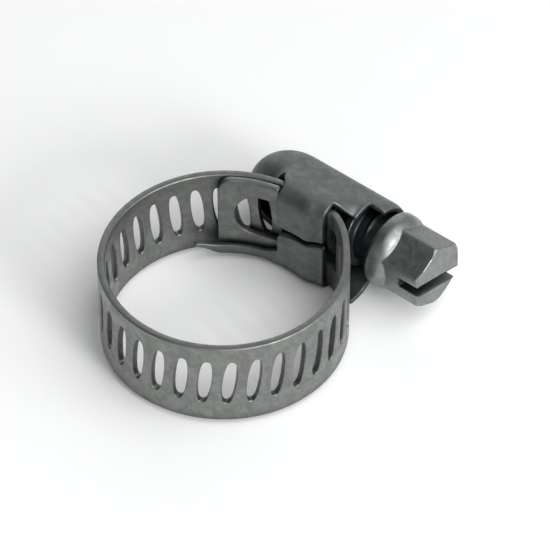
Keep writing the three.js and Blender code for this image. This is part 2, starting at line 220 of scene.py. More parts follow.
LOOP_RADIUS = LOOP_OUTER - THICK_HALF
PITCH_ANGLE = math.degrees(PITCH / LOOP_RADIUS)
FIRST_SLOT = TIP_ANGLE + math.degrees(TIP_TO_SLOT / LOOP_RADIUS)
LEAD = math.atan(PITCH / (2 * math.pi * CREST_RADIUS))

screw_joint = next(j for j in frame["joints"] if j["name"] == "screw_turn")
loop_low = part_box("strip_left_stretch")[0]
LOOP_CENTRE = np.array([
    loop_low.x + LOOP_OUTER / 1000,
    loop_low.y + LOOP_OUTER / 1000,
    screw_joint["pos_m"][2],
])


# ---------------------------------------------------------------- mesh helpers

def placed(points):
    """Row-frame metres of points given in millimetres about the loop's centre."""
    return np.asarray(points) / 1000 + LOOP_CENTRE


def grid_faces(rows, columns, wrap_rows=False, wrap_columns=False):
    """Quads of a grid whose vertex (i, j) is i * columns + j, shaped (rows, columns, 4)."""
    i = np.arange(rows if wrap_rows else rows - 1)[:, None]
    j = np.arange(columns if wrap_columns else columns - 1)[None, :]
    next_i = (i + 1) % rows
    next_j = (j + 1) % columns
    corners = (
        i * columns + j,
        i * columns + next_j,
        next_i * columns + next_j,
        next_i * columns + j,
    )
    return np.stack(np.broadcast_arrays(*corners), axis=-1)


def make_piece(name, surfaces, material, caps=(), sharp=None):
    """Mesh object from (points, quads) surfaces and caps, which are lists of points in order.
    Points that coincide are merged, so neighbouring surfaces join."""
    points = []
    faces = []
    count = 0
    for surface_points, quads in surfaces:
        surface_points = surface_points.reshape(-1, 3)
        points.append(surface_points)
        faces += (quads.reshape(-1, 4) + count).tolist()
        count += len(surface_points)
    for cap in caps:
        points.append(cap)
        faces.append(list(range(count, count + len(cap))))
        count += len(cap)
    mesh = bpy.data.meshes.new(name)
    mesh.from_pydata(placed(np.concatenate(points)).tolist(), [], faces)
    merged = bmesh.new()
    merged.from_mesh(mesh)
    bmesh.ops.remove_doubles(merged, verts=merged.verts, dist=2e-7)
    bmesh.ops.dissolve_degenerate(merged, edges=merged.edges, dist=1e-7)
    bmesh.ops.recalc_face_normals(merged, faces=merged.faces)
    merged.to_mesh(mesh)
    merged.free()
    mesh.shade_smooth()
    if sharp:
        mesh.set_sharp_from_angle(angle=math.radians(sharp))
    mesh.materials.append(material)
    piece = bpy.data.objects.new(name, mesh)
    bpy.context.scene.collection.objects.link(piece)
    return piece


def smooth_step(value):
    """0 below 0, 1 above 1, and between them three squares less two cubes."""
    share = np.clip(value, 0, 1)
    return share * share * (3 - 2 * share)


def smooth_max(a, b, width):
    """Larger of two arrays, with a rounded change-over of about the given width."""
    return (a + b + np.sqrt((a - b) ** 2 + width * width)) / 2


def smooth_min(a, b, width):
    """Smaller of two arrays, rounded in the same way."""
    return -smooth_max(-a, -b, width)


def evenly(points, count):
    """Polyline resampled to evenly spaced points, both ends included."""
    steps = np.hypot(*np.diff(points, axis=0).T)
    travel = np.concatenate([[0], np.cumsum(steps)])
    wanted = np.linspace(0, travel[-1], count)
    return np.stack([np.interp(wanted, travel, points[:, k]) for k in (0, 1)], axis=1)


def arc(centre, radius, start, stop, count=12):
    """Points of an arc in the flat strip, angles in degrees from the strip's length."""
    turn = np.radians(np.linspace(start, stop, count))
    return np.stack([centre[0] + radius * np.cos(turn), centre[1] + radius * np.sin(turn)], axis=1)


# ---------------------------------------------------------------- strip

def loop_radius(angle):
    """The plain loop: one radius all round."""
    return np.full_like(angle, LOOP_RADIUS)


def fixed_end_radius(angle):
    """One layer inside the loop under the housing, a step outwards where it leaves, then a slow
    return to the loop."""
    turn = np.where(angle > 180, angle - 360, angle)
    stepped = smooth_step((turn - JOGGLE_START) / (JOGGLE_END - JOGGLE_START))
    faded = smooth_step((turn - JOGGLE_END) / (JOGGLE_FADE - JOGGLE_END))
    proud = PROUD_RADIUS - LOOP_RADIUS
    return TONGUE_RADIUS + (PROUD_RADIUS - TONGUE_RADIUS) * stepped - proud * faded


def bent(flat, across, height, radius_at):
    """The strip bent into the loop. flat is the distance along it, measured at the loop's radius,
    across its width, and height how far off the middle of the thickness, along the normal."""
    angle = np.degrees(flat / LOOP_RADIUS)
    nudge = 0.05

    def middle(at):
        turn = np.radians(at)
        radius = radius_at(at)
        return -radius * np.sin(turn), radius * np.cos(turn)

    x, y = middle(angle)
    ahead = middle(angle + nudge)
    behind = middle(angle - nudge)
    along_x = ahead[0] - behind[0]
    along_y = ahead[1] - behind[1]
    length = np.hypot(along_x, along_y)
    return np.stack([x + height * along_y / length, y - height * along_x / length, across], axis=-1)


def flat_of(angle):
    """Distance along the flat strip of an angle round the loop."""
    return np.radians(angle) * LOOP_RADIUS


def edge_profile():
    """Offsets and heights down a sheet edge: a quarter round, the bare edge, a quarter round."""
    turn = np.radians([0, 30, 60, 90])
    offset = EDGE_ROUND * np.sin(turn)
    height = THICK_HALF - EDGE_ROUND * (1 - np.cos(turn))
    return np.concatenate([offset, offset[::-1]]), np.concatenate([height, -height[::-1]])


def pierced(boundary, hole, radius_at):
    """Ring of sheet between a boundary and a hole, each a closed run of flat points with equal
    counts: over the outer face, round the hole's rim, through it and back under the inner face."""
    along = np.roll(hole, -1, axis=0) - np.roll(hole, 1, axis=0)
    away = np.stack([along[:, 1], -along[:, 0]], axis=1)
    away /= np.hypot(away[:, 0], away[:, 1])[:, None]
    offset, height = edge_profile()
    rim = hole + away * EDGE_ROUND
    held = hole + away * (EDGE_ROUND + EDGE_HOLD)
    outside = [boundary, boundary + (held - boundary) * 0.35, boundary + (held - boundary) * 0.7, held]
    runs = [(run, THICK_HALF) for run in outside]
    runs += [(rim - away * o, h) for o, h in zip(offset, height)]
    runs += [(run, -THICK_HALF) for run in reversed(outside)]
    flat = np.stack([run for run, _ in runs])
    heights = np.array([h for _, h in runs])[:, None] * np.ones(len(hole))
    points = bent(flat[..., 0], flat[..., 1], heights, radius_at)
    return points, grid_faces(len(runs), len(hole), wrap_columns=True)


def rolled_edge(path, radius_at):
    """Rounded edge of the sheet along an open run of flat points with the sheet on its left."""
    along = np.gradient(path, axis=0)
    away = np.stack([along[:, 1], -along[:, 0]], axis=1)
    away /= np.hypot(away[:, 0], away[:, 1])[:, None]
    offset, height = edge_profile()
    flat = path[None] + away[None] * offset[:, None, None]
    heights = height[:, None] * np.ones(len(path))
    points = bent(flat[..., 0], flat[..., 1], heights, radius_at)
    return points, grid_faces(*flat.shape[:2])


def sides_run(sides, counts):
    """Closed run from four sides that each start where the last one ends."""
    return np.concatenate([evenly(side, count + 1)[:-1] for side, count in zip(sides, counts)])


def slot_sides(centre):
    """Leaned slot with blunt ends: width by a cosine raised to a power, length by a sine."""
    sides = []
    for start in (-135, -45, 45, 135):
        turn = np.radians(np.linspace(start, start + 90, 30))
        side = np.sign(np.cos(turn)) * np.abs(np.cos(turn)) ** SLOT_BLUNTNESS * SLOT_WIDTH / 2
        up = np.sin(turn) * SLOT_LENGTH / 2
        x = side * math.cos(LEAD) + up * math.sin(LEAD)
        z = up * math.cos(LEAD) - side * math.sin(LEAD)
        sides.append(np.stack([centre + x, SLOT_LIFT + z], axis=1))
    return sides


def slot_cell(start, stop, centre, radius_at):
    """One slot and the land around it, from start to stop along the flat strip."""
    low, high = -FACE_HALF, FACE_HALF
    corners = np.array([(start, low), (stop, low), (stop, high), (start, high), (start, low)])
    sides = [corners[k:k + 2] for k in range(4)]
    counts = (ALONG_STEPS, ACROSS_STEPS, ALONG_STEPS, ACROSS_STEPS)
    return pierced(sides_run(sides, counts), sides_run(slot_sides(centre), counts), radius_at)


def cut_end(at, radius_at):
    """Flat closing face of the strip at one cut, rounded edges included."""
    offset, height = edge_profile()
    up = np.linspace(-FACE_HALF, FACE_HALF, ACROSS_STEPS + 1)
    rounding = FACE_HALF + offset
    across = np.concatenate([up[:-1], rounding, up[::-1][1:-1], -rounding[::-1]])
    heights = np.concatenate([
        np.full(ACROSS_STEPS, THICK_HALF),
        height,
        np.full(ACROSS_STEPS - 1, -THICK_HALF),
        height[::-1],
    ])
    return bent(np.full_like(across, at), across, heights, radius_at)


def slot_row(first, last, start, stop, radius_at):
    """Cells of slots first to last, with the outer ends of the run at start and stop, and its two
    long edges."""
    lands = [flat_of(FIRST_SLOT + (k - 0.5) * PITCH_ANGLE) for k in range(first, last + 2)]
    lands[0] = start
    lands[-1] = stop
    surfaces = []
    edge = []
    for k in range(first, last + 1):
        low, high = lands[k - first], lands[k - first + 1]
        surfaces.append(slot_cell(low, high, flat_of(FIRST_SLOT + k * PITCH_ANGLE), radius_at))
        edge.append(np.linspace(low, high, ALONG_STEPS + 1)[:-1])
    edge = np.concatenate(edge + [[stop]])
    lower = np.stack([edge, np.full_like(edge, -FACE_HALF)], axis=1)
    upper = np.stack([edge, np.full_like(edge, FACE_HALF)], axis=1)
    return surfaces, lower, upper


def land(number):
    """Flat position half way between a slot and the next one."""
    return flat_of(FIRST_SLOT + (number + 0.5) * PITCH_ANGLE)


def strip_free_side(material):
    """From the free end's tip, under the screw, round to the left."""
    tip = flat_of(TIP_ANGLE)
    stop = land(TIP_CUT_SLOT)
    surfaces, lower, upper = slot_row(0, TIP_CUT_SLOT, tip, stop, loop_radius)
    surfaces += [rolled_edge(lower, loop_radius), rolled_edge(upper[::-1], loop_radius)]
    caps = [cut_end(tip, loop_radius), cut_end(stop, loop_radius)]
    return make_piece("strip_free_side", surfaces, material, caps, sharp=60)


def strip_front(material):
    """Front of the loop."""
    start = land(TIP_CUT_SLOT)
    stop = land(MIDDLE_CUT_SLOT)
    surfaces, lower, upper = slot_row(TIP_CUT_SLOT + 1, MIDDLE_CUT_SLOT, start, stop, loop_radius)
    surfaces += [rolled_edge(lower, loop_radius), rolled_edge(upper[::-1], loop_radius)]
    caps = [cut_end(start, loop_radius), cut_end(stop, loop_radius)]
    return make_piece("strip_front", surfaces, material, caps, sharp=60)


def tongue_flat(x):
    """Flat position of a point of the tongue that lies at x."""
    return flat_of(360 + np.degrees(np.arcsin(-x / TONGUE_RADIUS)))


def tongue_outline(start):
    """Four sides of the tongue from the last land: lower edge with its neck and slope, cut end
    with a rounded corner, upper edge with its neck, and the joint with the land."""
    end = tongue_flat(-TONGUE_REACH) - EDGE_ROUND
    neck = NECK_HALF - EDGE_ROUND
    neck_from = tongue_flat(NECK_RIGHT)
    neck_to = tongue_flat(-NECK_LEFT)
    ease = NECK_EASE
    slope_from = tongue_flat(-TONGUE_SLOPE_FROM - ease)
    tip_low = EDGE_ROUND - TONGUE_TIP_LOW
    corner = arc((end - TONGUE_CORNER, FACE_HALF - TONGUE_CORNER), TONGUE_CORNER, 0, 90)
    half = len(corner) // 2
    small = TONGUE_TIP_CORNER
    low_corner = arc((end - small, tip_low + small), small, -75, 0, 8)
    lower = np.concatenate([
        [(start, -FACE_HALF), (neck_from - ease, -FACE_HALF), (neck_from, -neck), (neck_to, -neck)],
        [(neck_to + ease, -FACE_HALF + 0.1), (slope_from + 0.5, -FACE_HALF + 0.25)],
        low_corner[:4],
    ])
    cut = np.concatenate([low_corner[3:], corner[:half]])
    upper = np.concatenate([
        corner[half - 1:],
        [(neck_to + ease, FACE_HALF), (neck_to, neck), (neck_from, neck)],
        [(neck_from - ease, FACE_HALF), (start, FACE_HALF)],
    ])
    return [lower, cut, upper, np.array([(start, FACE_HALF), (start, -FACE_HALF)])]


def window_sides():
    """Four sides of the window: square with small corners at its right, a half round at its
    left."""
    right = tongue_flat(WINDOW_RIGHT)
    left = tongue_flat(-WINDOW_LEFT)
    round_middle = (left - WINDOW_HALF, WINDOW_LIFT)
    low = WINDOW_LIFT - WINDOW_HALF
    high = WINDOW_LIFT + WINDOW_HALF
    near = right + WINDOW_CORNER
    low_corner = arc((near, low + WINDOW_CORNER), WINDOW_CORNER, 180, 270, 13)
    high_corner = arc((near, high - WINDOW_CORNER), WINDOW_CORNER, 90, 180, 13)
    end = arc(round_middle, WINDOW_HALF, -90, 90, 61)
    return [
        np.concatenate([low_corner[6:], end[:16]]),
        end[15:46],
        np.concatenate([end[45:], high_corner[:7]]),
        np.concatenate([high_corner[6:], low_corner[:7]]),
    ]


def strip_fixed_side(material):
    """From the right of the loop's front round to the tongue inside the housing."""
    start = land(MIDDLE_CUT_SLOT)
    join = land(LAST_SLOT)
    surfaces, lower, upper = slot_row(MIDDLE_CUT_SLOT + 1, LAST_SLOT, start, join, fixed_end_radius)
    counts = (TONGUE_STEPS, ACROSS_STEPS, TONGUE_STEPS, ACROSS_STEPS)
    outline = tongue_outline(join)
    boundary = sides_run(outline, counts)
    surfaces.append(pierced(boundary, sides_run(window_sides(), counts), fixed_end_radius))
    round_end = boundary[: 2 * TONGUE_STEPS + ACROSS_STEPS + 1]
    path = np.concatenate([lower[:-1], round_end, upper[::-1][1:]])
    surfaces.append(rolled_edge(path, fixed_end_radius))
    caps = [cut_end(start, fixed_end_radius)]
    return make_piece("strip_fixed_side", surfaces, material, caps, sharp=60)


# ---------------------------------------------------------------- screw

def about_screw(x, radius, turn):
    """Point at a distance along the screw, a radius off its axis, and a turn in degrees measured
    from +Z towards the loop."""
    angle = np.radians(turn)
    return np.stack(np.broadcast_arrays(
        x, AXIS_Y - radius * np.sin(angle), radius * np.cos(angle)), axis=-1)


def revolved(x, radius, sides):
    """Closed surface from rows of (x, radius), radius either one number or one for each side."""
    turn = np.arange(sides) * 360 / sides
    return about_screw(x, radius, turn), grid_faces(x.shape[0], sides, wrap_columns=True)


def thread_height(phase):
    """0 at the root, 1 on the crest and straight flanks between, phase counted in turns."""
    turn = np.abs(phase - np.round(phase))
    flank = (1 - CREST_SHARE - ROOT_SHARE) / 2
    return smooth_step((CREST_SHARE / 2 + flank - turn) / flank)


def screw_worm(material):
    """Pilot, right-hand worm and journal: radius is the root's plus the thread's height, whose
    phase advances one turn for each pitch along the screw."""
    sides = 120
    turn = np.arange(sides) * 360 / sides
    rows = int((THREAD_END - THREAD_START) / PITCH * 30)
    x = np.linspace(THREAD_START, THREAD_END, rows)[:, None]
    slot_x = -LOOP_OUTER * math.sin(math.radians(FIRST_SLOT))
    height = thread_height((x - slot_x) / PITCH - (turn / 360 + 0.25) + 0.5)
    runout = smooth_step(np.minimum(x - THREAD_START, THREAD_END - x) / THREAD_RUNOUT)
    radius = CREST_RADIUS - THREAD_DEPTH + THREAD_DEPTH * height * runout
    root = CREST_RADIUS - THREAD_DEPTH
    even = np.ones(sides)
    before = [
        (PILOT_END, 0),
        (PILOT_END, PILOT_TIP_RADIUS),
        (PILOT_END + 0.1, 0.8),
        (PILOT_END + 0.45, PILOT_RADIUS),
        (THREAD_START - 0.5, PILOT_RADIUS),
        (THREAD_START - 0.12, PILOT_RADIUS + 0.15),
        (THREAD_START - 0.02, root - 0.1),
    ]
    after = [
        (THREAD_END + 0.05, JOURNAL_RADIUS),
        (COLLAR_BACK + 0.3, JOURNAL_RADIUS),
        (COLLAR_BACK + 0.3, 0),
    ]
    x = np.concatenate([[[p] for p, _ in before], x, [[p] for p, _ in after]])
    radius = np.concatenate([[r * even for _, r in before], radius, [r * even for _, r in after]])
    return make_piece("screw_worm", [revolved(x, radius, sides)], material, sharp=50)


def hex_radius(turn):
    """Distance from the axis to a hexagon's side, held back to a rounded corner."""
    offset = np.radians((turn - HEX_TURN) % 60 - 30)
    return smooth_min(HEX_APOTHEM / np.cos(offset), np.full_like(turn, HEX_CORNER), 0.05)


def screw_head(material):
    """Collar and hex: outside the collar's back and rim the radius is the larger of a dome that
    falls from the rim and the hexagon, which a cone trims at its end."""
    sides = 240
    turn = np.arange(sides) * 360 / sides
    even = np.ones(sides)
    rim = COLLAR_ROUND
    quarter = np.radians(np.linspace(0, 90, 13))
    back_x = COLLAR_BACK + rim * (1 - np.cos(quarter))
    back_radius = COLLAR_RADIUS - rim * (1 - np.sin(quarter))
    back = [(COLLAR_BACK, 0), (COLLAR_BACK, 1.5), (COLLAR_BACK, COLLAR_RADIUS - rim - 0.1)]
    back += list(zip(back_x, back_radius))
    x = np.concatenate([
        np.linspace(COLLAR_BACK + rim + 0.06, COLLAR_SHOULDER - 0.06, 4),
        np.linspace(COLLAR_SHOULDER, COLLAR_SHOULDER + COLLAR_DOME, 46),
        np.linspace(COLLAR_SHOULDER + COLLAR_DOME + 0.1, HEX_END - HEX_CHAMFER - 0.1, 18),
        np.linspace(HEX_END - HEX_CHAMFER, HEX_END - 0.04, 14),
    ])[:, None]
    fall = np.clip((x - COLLAR_SHOULDER) / COLLAR_DOME, 0, 1)
    drop = COLLAR_RADIUS - COLLAR_DOME_ROOT
    dome = COLLAR_DOME_ROOT + drop * np.sqrt(1 - fall ** 2)
    dome = np.where(fall >= 1, 0, dome)
    trim = HEX_CORNER + 0.05 - HEX_TRIM * smooth_step((x - HEX_END + HEX_CHAMFER) / HEX_CHAMFER)
    hexagon = smooth_min(hex_radius(turn) * np.ones_like(x), trim * even, 0.04)
    radius = smooth_max(hexagon, dome * even, 0.06)
    radius = np.where(x < COLLAR_SHOULDER, COLLAR_RADIUS, radius)
    x = np.concatenate([[[p] for p, _ in back], x, [[HEX_END]]])
    radius = np.concatenate([[r * even for _, r in back], radius, [radius[-1] - 0.05]])
    surface = revolved(x, radius, sides)
    head = make_piece("screw_head", [surface], material, caps=[surface[0][-1]])
    cut_driver_slot(head)
    return head


def cut_driver_slot(head):
    """Cuts the screwdriver slot across the hex with a box and eases the edges that it leaves."""
    reach = COLLAR_RADIUS + 1
    half = DRIVER_WIDTH / 2
    tilt = math.radians(DRIVER_TURN)
    corners = np.array([
        (x, y, z - DRIVER_OFFSET)
        for x in (HEX_END - DRIVER_DEPTH, HEX_END + 1)
        for y in (-reach, reach)
        for z in (-half, half)
    ])
    y = corners[:, 1] * math.cos(tilt) - corners[:, 2] * math.sin(tilt) + AXIS_Y
    z = corners[:, 1] * math.sin(tilt) + corners[:, 2] * math.cos(tilt)
    corners = np.stack([corners[:, 0], y, z], axis=1)
    quads = np.array([
        (0, 1, 3, 2), (4, 6, 7, 5), (0, 4, 5, 1),
        (2, 3, 7, 6), (0, 2, 6, 4), (1, 5, 7, 3),
    ])
    cutter = make_piece("driver_cutter", [(corners, quads)], head.data.materials[0])
    cut = head.modifiers.new("slot", "BOOLEAN")
    cut.object = cutter
    cut.solver = "EXACT"
    ease = head.modifiers.new("eased_edges", "BEVEL")
    ease.width = DRIVER_EASE / 1000
    ease.segments = 3
    ease.limit_method = "ANGLE"
    ease.angle_limit = math.radians(50)
    ease.use_clamp_overlap = False
    settle(head)
    head.data.set_sharp_from_angle(angle=math.radians(40))
    bpy.data.objects.remove(cutter)


def settle(piece):
    """Applies a piece's modifiers to its mesh."""
    bpy.context.view_layer.update()
    evaluated = piece.evaluated_get(bpy.context.evaluated_depsgraph_get())
    mesh = bpy.data.meshes.new_from_object(evaluated)
    piece.modifiers.clear()
    piece.data = mesh


# ---------------------------------------------------------------- housing

def foot_lines():
    """Evenly spaced places along the screw, across a foot."""
    return np.linspace(FOOT_LEFT, FOOT_RIGHT, 21)


def barrel_lines():
    """Places along the screw, with the dome's crowded towards its pole, and the matching middle
    radius of the sheet."""
    turn = np.radians(np.linspace(0, 90, 19))
    reach = DOME_SHOULDER - DOME_LEFT
    dome_x = DOME_SHOULDER - reach * np.cos(turn)
    dome_r = BARREL_MIDDLE * np.sin(turn)
    straight = np.concatenate([
        [-2.8, -2.6, -2.4, -2.22], foot_lines(), FLANK_LINES, MOUTH_LINES, [BARREL_RIGHT],
    ])
    near_mouth = (straight - MOUTH_DRAW_FROM) / (BARREL_RIGHT - MOUTH_DRAW_FROM)
    drawn_in = MOUTH_DRAW * smooth_step(near_mouth) ** 2
    return np.concatenate([dome_x, straight]), np.concatenate([dome_r, BARREL_MIDDLE - drawn_in])


def on_barrel(turn, radius=BARREL_MIDDLE):
    """Y and Z of the sheet at a turn about the screw, from +Z towards +Y."""
    angle = np.radians(turn)
    return AXIS_Y + radius * np.sin(angle), radius * np.cos(angle)


def neck_profile():
    """Y and Z from the barrel's crown out to the foot's shoulder: a wide hollow arc, a straight
    slope and a rounded shoulder that ends on the side wall. The slope's length and the shoulder's
    radius follow from the two ends."""
    start = math.radians(NECK_TURN)
    slope = math.radians(NECK_SLOPE)
    y0, z0 = on_barrel(NECK_TURN)
    rise = WALL_MIDDLE - z0 - NECK_RADIUS * (math.cos(start) - math.cos(slope))
    drop = y0 - SHOULDER_Y - NECK_RADIUS * (math.sin(slope) - math.sin(start))
    ends = [[math.sin(slope), 1 - math.cos(slope)], [math.cos(slope), math.sin(slope)]]
    straight, shoulder = np.linalg.solve(ends, [rise, drop])
    hollow = np.linspace(start, slope, 7)
    y = y0 - NECK_RADIUS * (np.sin(hollow) - math.sin(start))
    z = z0 + NECK_RADIUS * (math.cos(start) - np.cos(hollow))
    along = np.linspace(0, straight, 4)[1:]
    y = np.concatenate([y, y[-1] - along * math.cos(slope)])
    z = np.concatenate([z, z[-1] + along * math.sin(slope)])
    over = np.linspace(slope, 0, 9)[1:]
    y = np.concatenate([y, SHOULDER_Y + shoulder * np.sin(over)])
    z = np.concatenate([z, WALL_MIDDLE - shoulder * (1 - np.cos(over))])
    return y, z


def barrel_surface():
    """Half-open barrel: turns about the screw's axis from the lower lip on one side, over the
    top, to the other lip. Over the dome the lips close under it, and towards the feet the sides
    swell out to the feet's necks. Cells are left out for the feet and the mouth."""
    x, radius = barrel_lines()
    lip = -math.degrees(math.asin((AXIS_Y - BARREL_UNDERSIDE) / BARREL_MIDDLE))
    side = np.linspace(lip, NECK_TURN, SIDE_ROWS)
    turn = np.concatenate([side, np.linspace(NECK_TURN, 90, 22)[1:]])
    depth = np.minimum(1, (AXIS_Y - BARREL_UNDERSIDE) / np.maximum(radius, 0.01))
    closing = -np.degrees(np.arcsin(depth))[:, None]
    lowered = NECK_TURN + (turn - NECK_TURN) * (closing - NECK_TURN) / (lip - NECK_TURN)
    y, z = on_barrel(np.where(turn < NECK_TURN, lowered, turn), radius[:, None])
    neck_y, neck_z = neck_profile()
    swell = smooth_step((x - FOOT_LEFT + NECK_FADE) / NECK_FADE)[:, None]
    swell = np.where(x[:, None] > FOOT_LEFT + 0.01, 0, swell)
    y[:, :SIDE_ROWS] += swell * (neck_y[:SIDE_ROWS][::-1] - y[:, :SIDE_ROWS])
    z[:, :SIDE_ROWS] += swell * (neck_z[:SIDE_ROWS][::-1] - z[:, :SIDE_ROWS])
    y = np.concatenate([y, y[:, ::-1][:, 1:]], axis=1)
    z = np.concatenate([z, -z[:, ::-1][:, 1:]], axis=1)
    turn = np.concatenate([turn, 180 - turn[::-1][1:]])
    points = np.stack([x[:, None] * np.ones_like(y), y, z], axis=-1)
    cell_x = (x[:-1, None] + x[1:, None]) / 2
    cell_turn = (turn[None, :-1] + turn[None, 1:]) / 2
    turn_down = np.minimum(cell_turn, 180 - cell_turn)
    left_out = (turn_down < NECK_TURN) & (cell_x > FOOT_LEFT)
    left_out |= (cell_turn < MOUTH_TURN) & (cell_x > MOUTH_LEFT)
    return points, grid_faces(len(x), len(turn))[~left_out]


def foot_section(x, side):
    """Section of a foot at each x, from the barrel's crown to the flap's edge: the neck, the side
    wall, the bend under the strip and the flap."""
    neck_y, neck_z = neck_profile()
    flap_y = flap_depth(x)
    bend = np.minimum(BEND_RADIUS, SHOULDER_Y - 0.1 - flap_y)
    wall_y = SHOULDER_Y + (flap_y + bend - SHOULDER_Y)[:, None] * np.array([0.5, 1])
    down = np.radians(np.linspace(0, 90, 11)[1:])
    bend_y = flap_y[:, None] + bend[:, None] * (1 - np.sin(down))
    bend_z = WALL_MIDDLE - bend[:, None] * (1 - np.cos(down))
    edge = flap_edge(x, side)
    flap_z = bend_z[:, -1:] + (edge[:, None] - bend_z[:, -1:]) * FLAP_SHARES
    level = flap_y[:, None] * np.ones(len(FLAP_SHARES))
    many = np.ones((len(x), 1))
    y = np.concatenate([many * neck_y, wall_y, bend_y, level], axis=1)
    z = np.concatenate([many * neck_z, many * np.full(2, WALL_MIDDLE), bend_z, flap_z], axis=1)
    return y, z


def flap_depth(x):
    """Distance of the flap's middle from the loop's centre line, following the tongue."""
    angle = np.degrees(np.arctan2(-x, FLAP_RADIUS))
    radius = FLAP_RADIUS + FLAP_JOGGLE_SHARE * (fixed_end_radius(angle) - TONGUE_RADIUS)
    return np.sqrt(radius ** 2 - x ** 2)


def flap_edge(x, side):
    """Height of the flap's free edge above the strip's middle, mirrored for the lower foot."""
    share = (x - FLAP_LEFT) / (FLAP_RIGHT - FLAP_LEFT)
    share = np.clip(share, 0, 1)
    if side > 0:
        return UPPER_FLAP_EDGE + UPPER_FLAP_RISE * share
    return LOWER_FLAP_EDGE - LOWER_FLAP_FALL * share


def foot_surface(side):
    """One foot. Its left edge slants in towards the flap's rounded corner, and its right edge
    steps out."""
    line = foot_lines()
    share = (line - FOOT_LEFT) / (FOOT_RIGHT - FOOT_LEFT)
    y, z = foot_section(FLAP_LEFT + (FLAP_RIGHT - FLAP_LEFT) * share, side)
    row = np.arange(FLAP_ROWS)
    to_edge = np.minimum(FLAP_CORNER, z[0] - z[0, -1])
    cut_back = FLAP_CORNER - np.sqrt(FLAP_CORNER ** 2 - (FLAP_CORNER - to_edge) ** 2)
    left = FOOT_LEFT + (FLAP_LEFT - FOOT_LEFT) * smooth_step((row - SIDE_ROWS) / 8) + cut_back
    right = FOOT_RIGHT + (FLAP_RIGHT - FOOT_RIGHT) * smooth_step((row - 8) / 12)
    x = left[None] + (right - left)[None] * share[:, None]
    points = np.stack([x, y, side * z], axis=-1)
    return points, grid_faces(*points.shape[:2])


def upper_flank(foot):
    """Top of the upper foot's neck carried on to the mouth, where it is back on the barrel."""
    edge = foot[-1, :FLANK_ROWS]
    lines = np.array((FOOT_RIGHT,) + FLANK_LINES)
    reach = ((lines - FOOT_RIGHT) / (MOUTH_LEFT - FOOT_RIGHT))[:, None]
    low = -math.degrees(math.asin((AXIS_Y - FLANK_END) / BARREL_MIDDLE))
    barrel_y, barrel_z = on_barrel(np.linspace(NECK_TURN, low, FLANK_ROWS))
    blend = smooth_step(reach * 1.3)
    x = edge[:, 0] + (MOUTH_LEFT - edge[:, 0]) * reach
    y = edge[:, 1] + (barrel_y - edge[:, 1]) * blend
    z = edge[:, 2] + (barrel_z - edge[:, 2]) * blend
    points = np.stack([x, y, z], axis=-1)
    return points, grid_faces(*points.shape[:2])


def lower_shelf(foot):
    """Neck and wall of the lower foot carried on to the right, under the collar."""
    edge = foot[-1, :WALL_ROWS]
    lines = np.array((FOOT_RIGHT,) + FLANK_LINES + MOUTH_LINES)
    reach = ((lines - FOOT_RIGHT) / (LOWER_FOOT_RIGHT - FOOT_RIGHT))[:, None]
    x = edge[:, 0] + (LOWER_FOOT_RIGHT - edge[:, 0]) * reach
    wall = np.clip(np.arange(WALL_ROWS) - NECK_ROWS + 1, 0, 2) / 2
    y = edge[:, 1] - wall * (edge[-1, 1] - WALL_END) * np.minimum(1, 2 * reach)
    z = edge[:, 2] * np.ones_like(reach)
    points = np.stack([x, y, z], axis=-1)
    return points, grid_faces(*points.shape[:2])


def finger_surface(foot):
    """Lip that carries on from the lower flap along the tongue's lower edge and rises to a
    point: rows blend from the foot's edge into a band on the flap's radius."""
    root = foot[0, BEND_ROWS - 6:BEND_ROWS + 2]
    start = math.degrees(math.atan2(-root[-1, 0], root[-1, 1]))
    reach = np.linspace(0, 1, 26)[:, None]
    angle = start + (FINGER_REACH - start) * reach
    low_share = smooth_step((angle - FINGER_LOW_FROM) / (FINGER_REACH - FINGER_LOW_FROM))
    high_share = smooth_step((angle - FINGER_HIGH_FROM) / (FINGER_REACH - FINGER_HIGH_FROM))
    low = FINGER_LOW + FINGER_LOW_RISE * low_share
    high = FINGER_HIGH + FINGER_HIGH_RISE * high_share
    share = np.linspace(0, 1, len(root))
    own_z = low + (high - low) * share
    own_radius = FLAP_RADIUS + FINGER_FLARE * (1 - share) ** 2
    blend = smooth_step(reach * 5)
    radius = np.hypot(root[:, 0], root[:, 1]) * (1 - blend) + own_radius * blend
    z = root[:, 2] * (1 - blend) + own_z * blend
    start_angle = np.degrees(np.arctan2(-root[:, 0], root[:, 1]))
    turn = np.radians(angle + (start_angle - start) * (1 - blend))
    points = np.stack([-radius * np.sin(turn), radius * np.cos(turn), z], axis=-1)
    return points, grid_faces(*points.shape[:2])


def housing_shell(material):
    """The housing's sheet as one surface through the middle of its thickness, then thickened and
    its rims rounded."""
    upper = foot_surface(1)
    lower = foot_surface(-1)
    surfaces = [
        barrel_surface(),
        upper,
        upper_flank(upper[0]),
        lower,
        lower_shelf(lower[0]),
        finger_surface(lower[0]),
    ]
    shell = make_piece("housing_shell", surfaces, material)
    wall = shell.modifiers.new("sheet", "SOLIDIFY")
    wall.thickness = SHEET / 1000
    wall.offset = 0
    ease = shell.modifiers.new("rolled_rims", "BEVEL")
    ease.width = RIM_ROUND / 1000
    ease.segments = 3
    ease.limit_method = "ANGLE"
    ease.angle_limit = math.radians(55)
    ease.use_clamp_overlap = False
    settle(shell)
    shell.data.set_sharp_from_angle(angle=math.radians(50))
    return shell


# ---------------------------------------------------------------- finishes

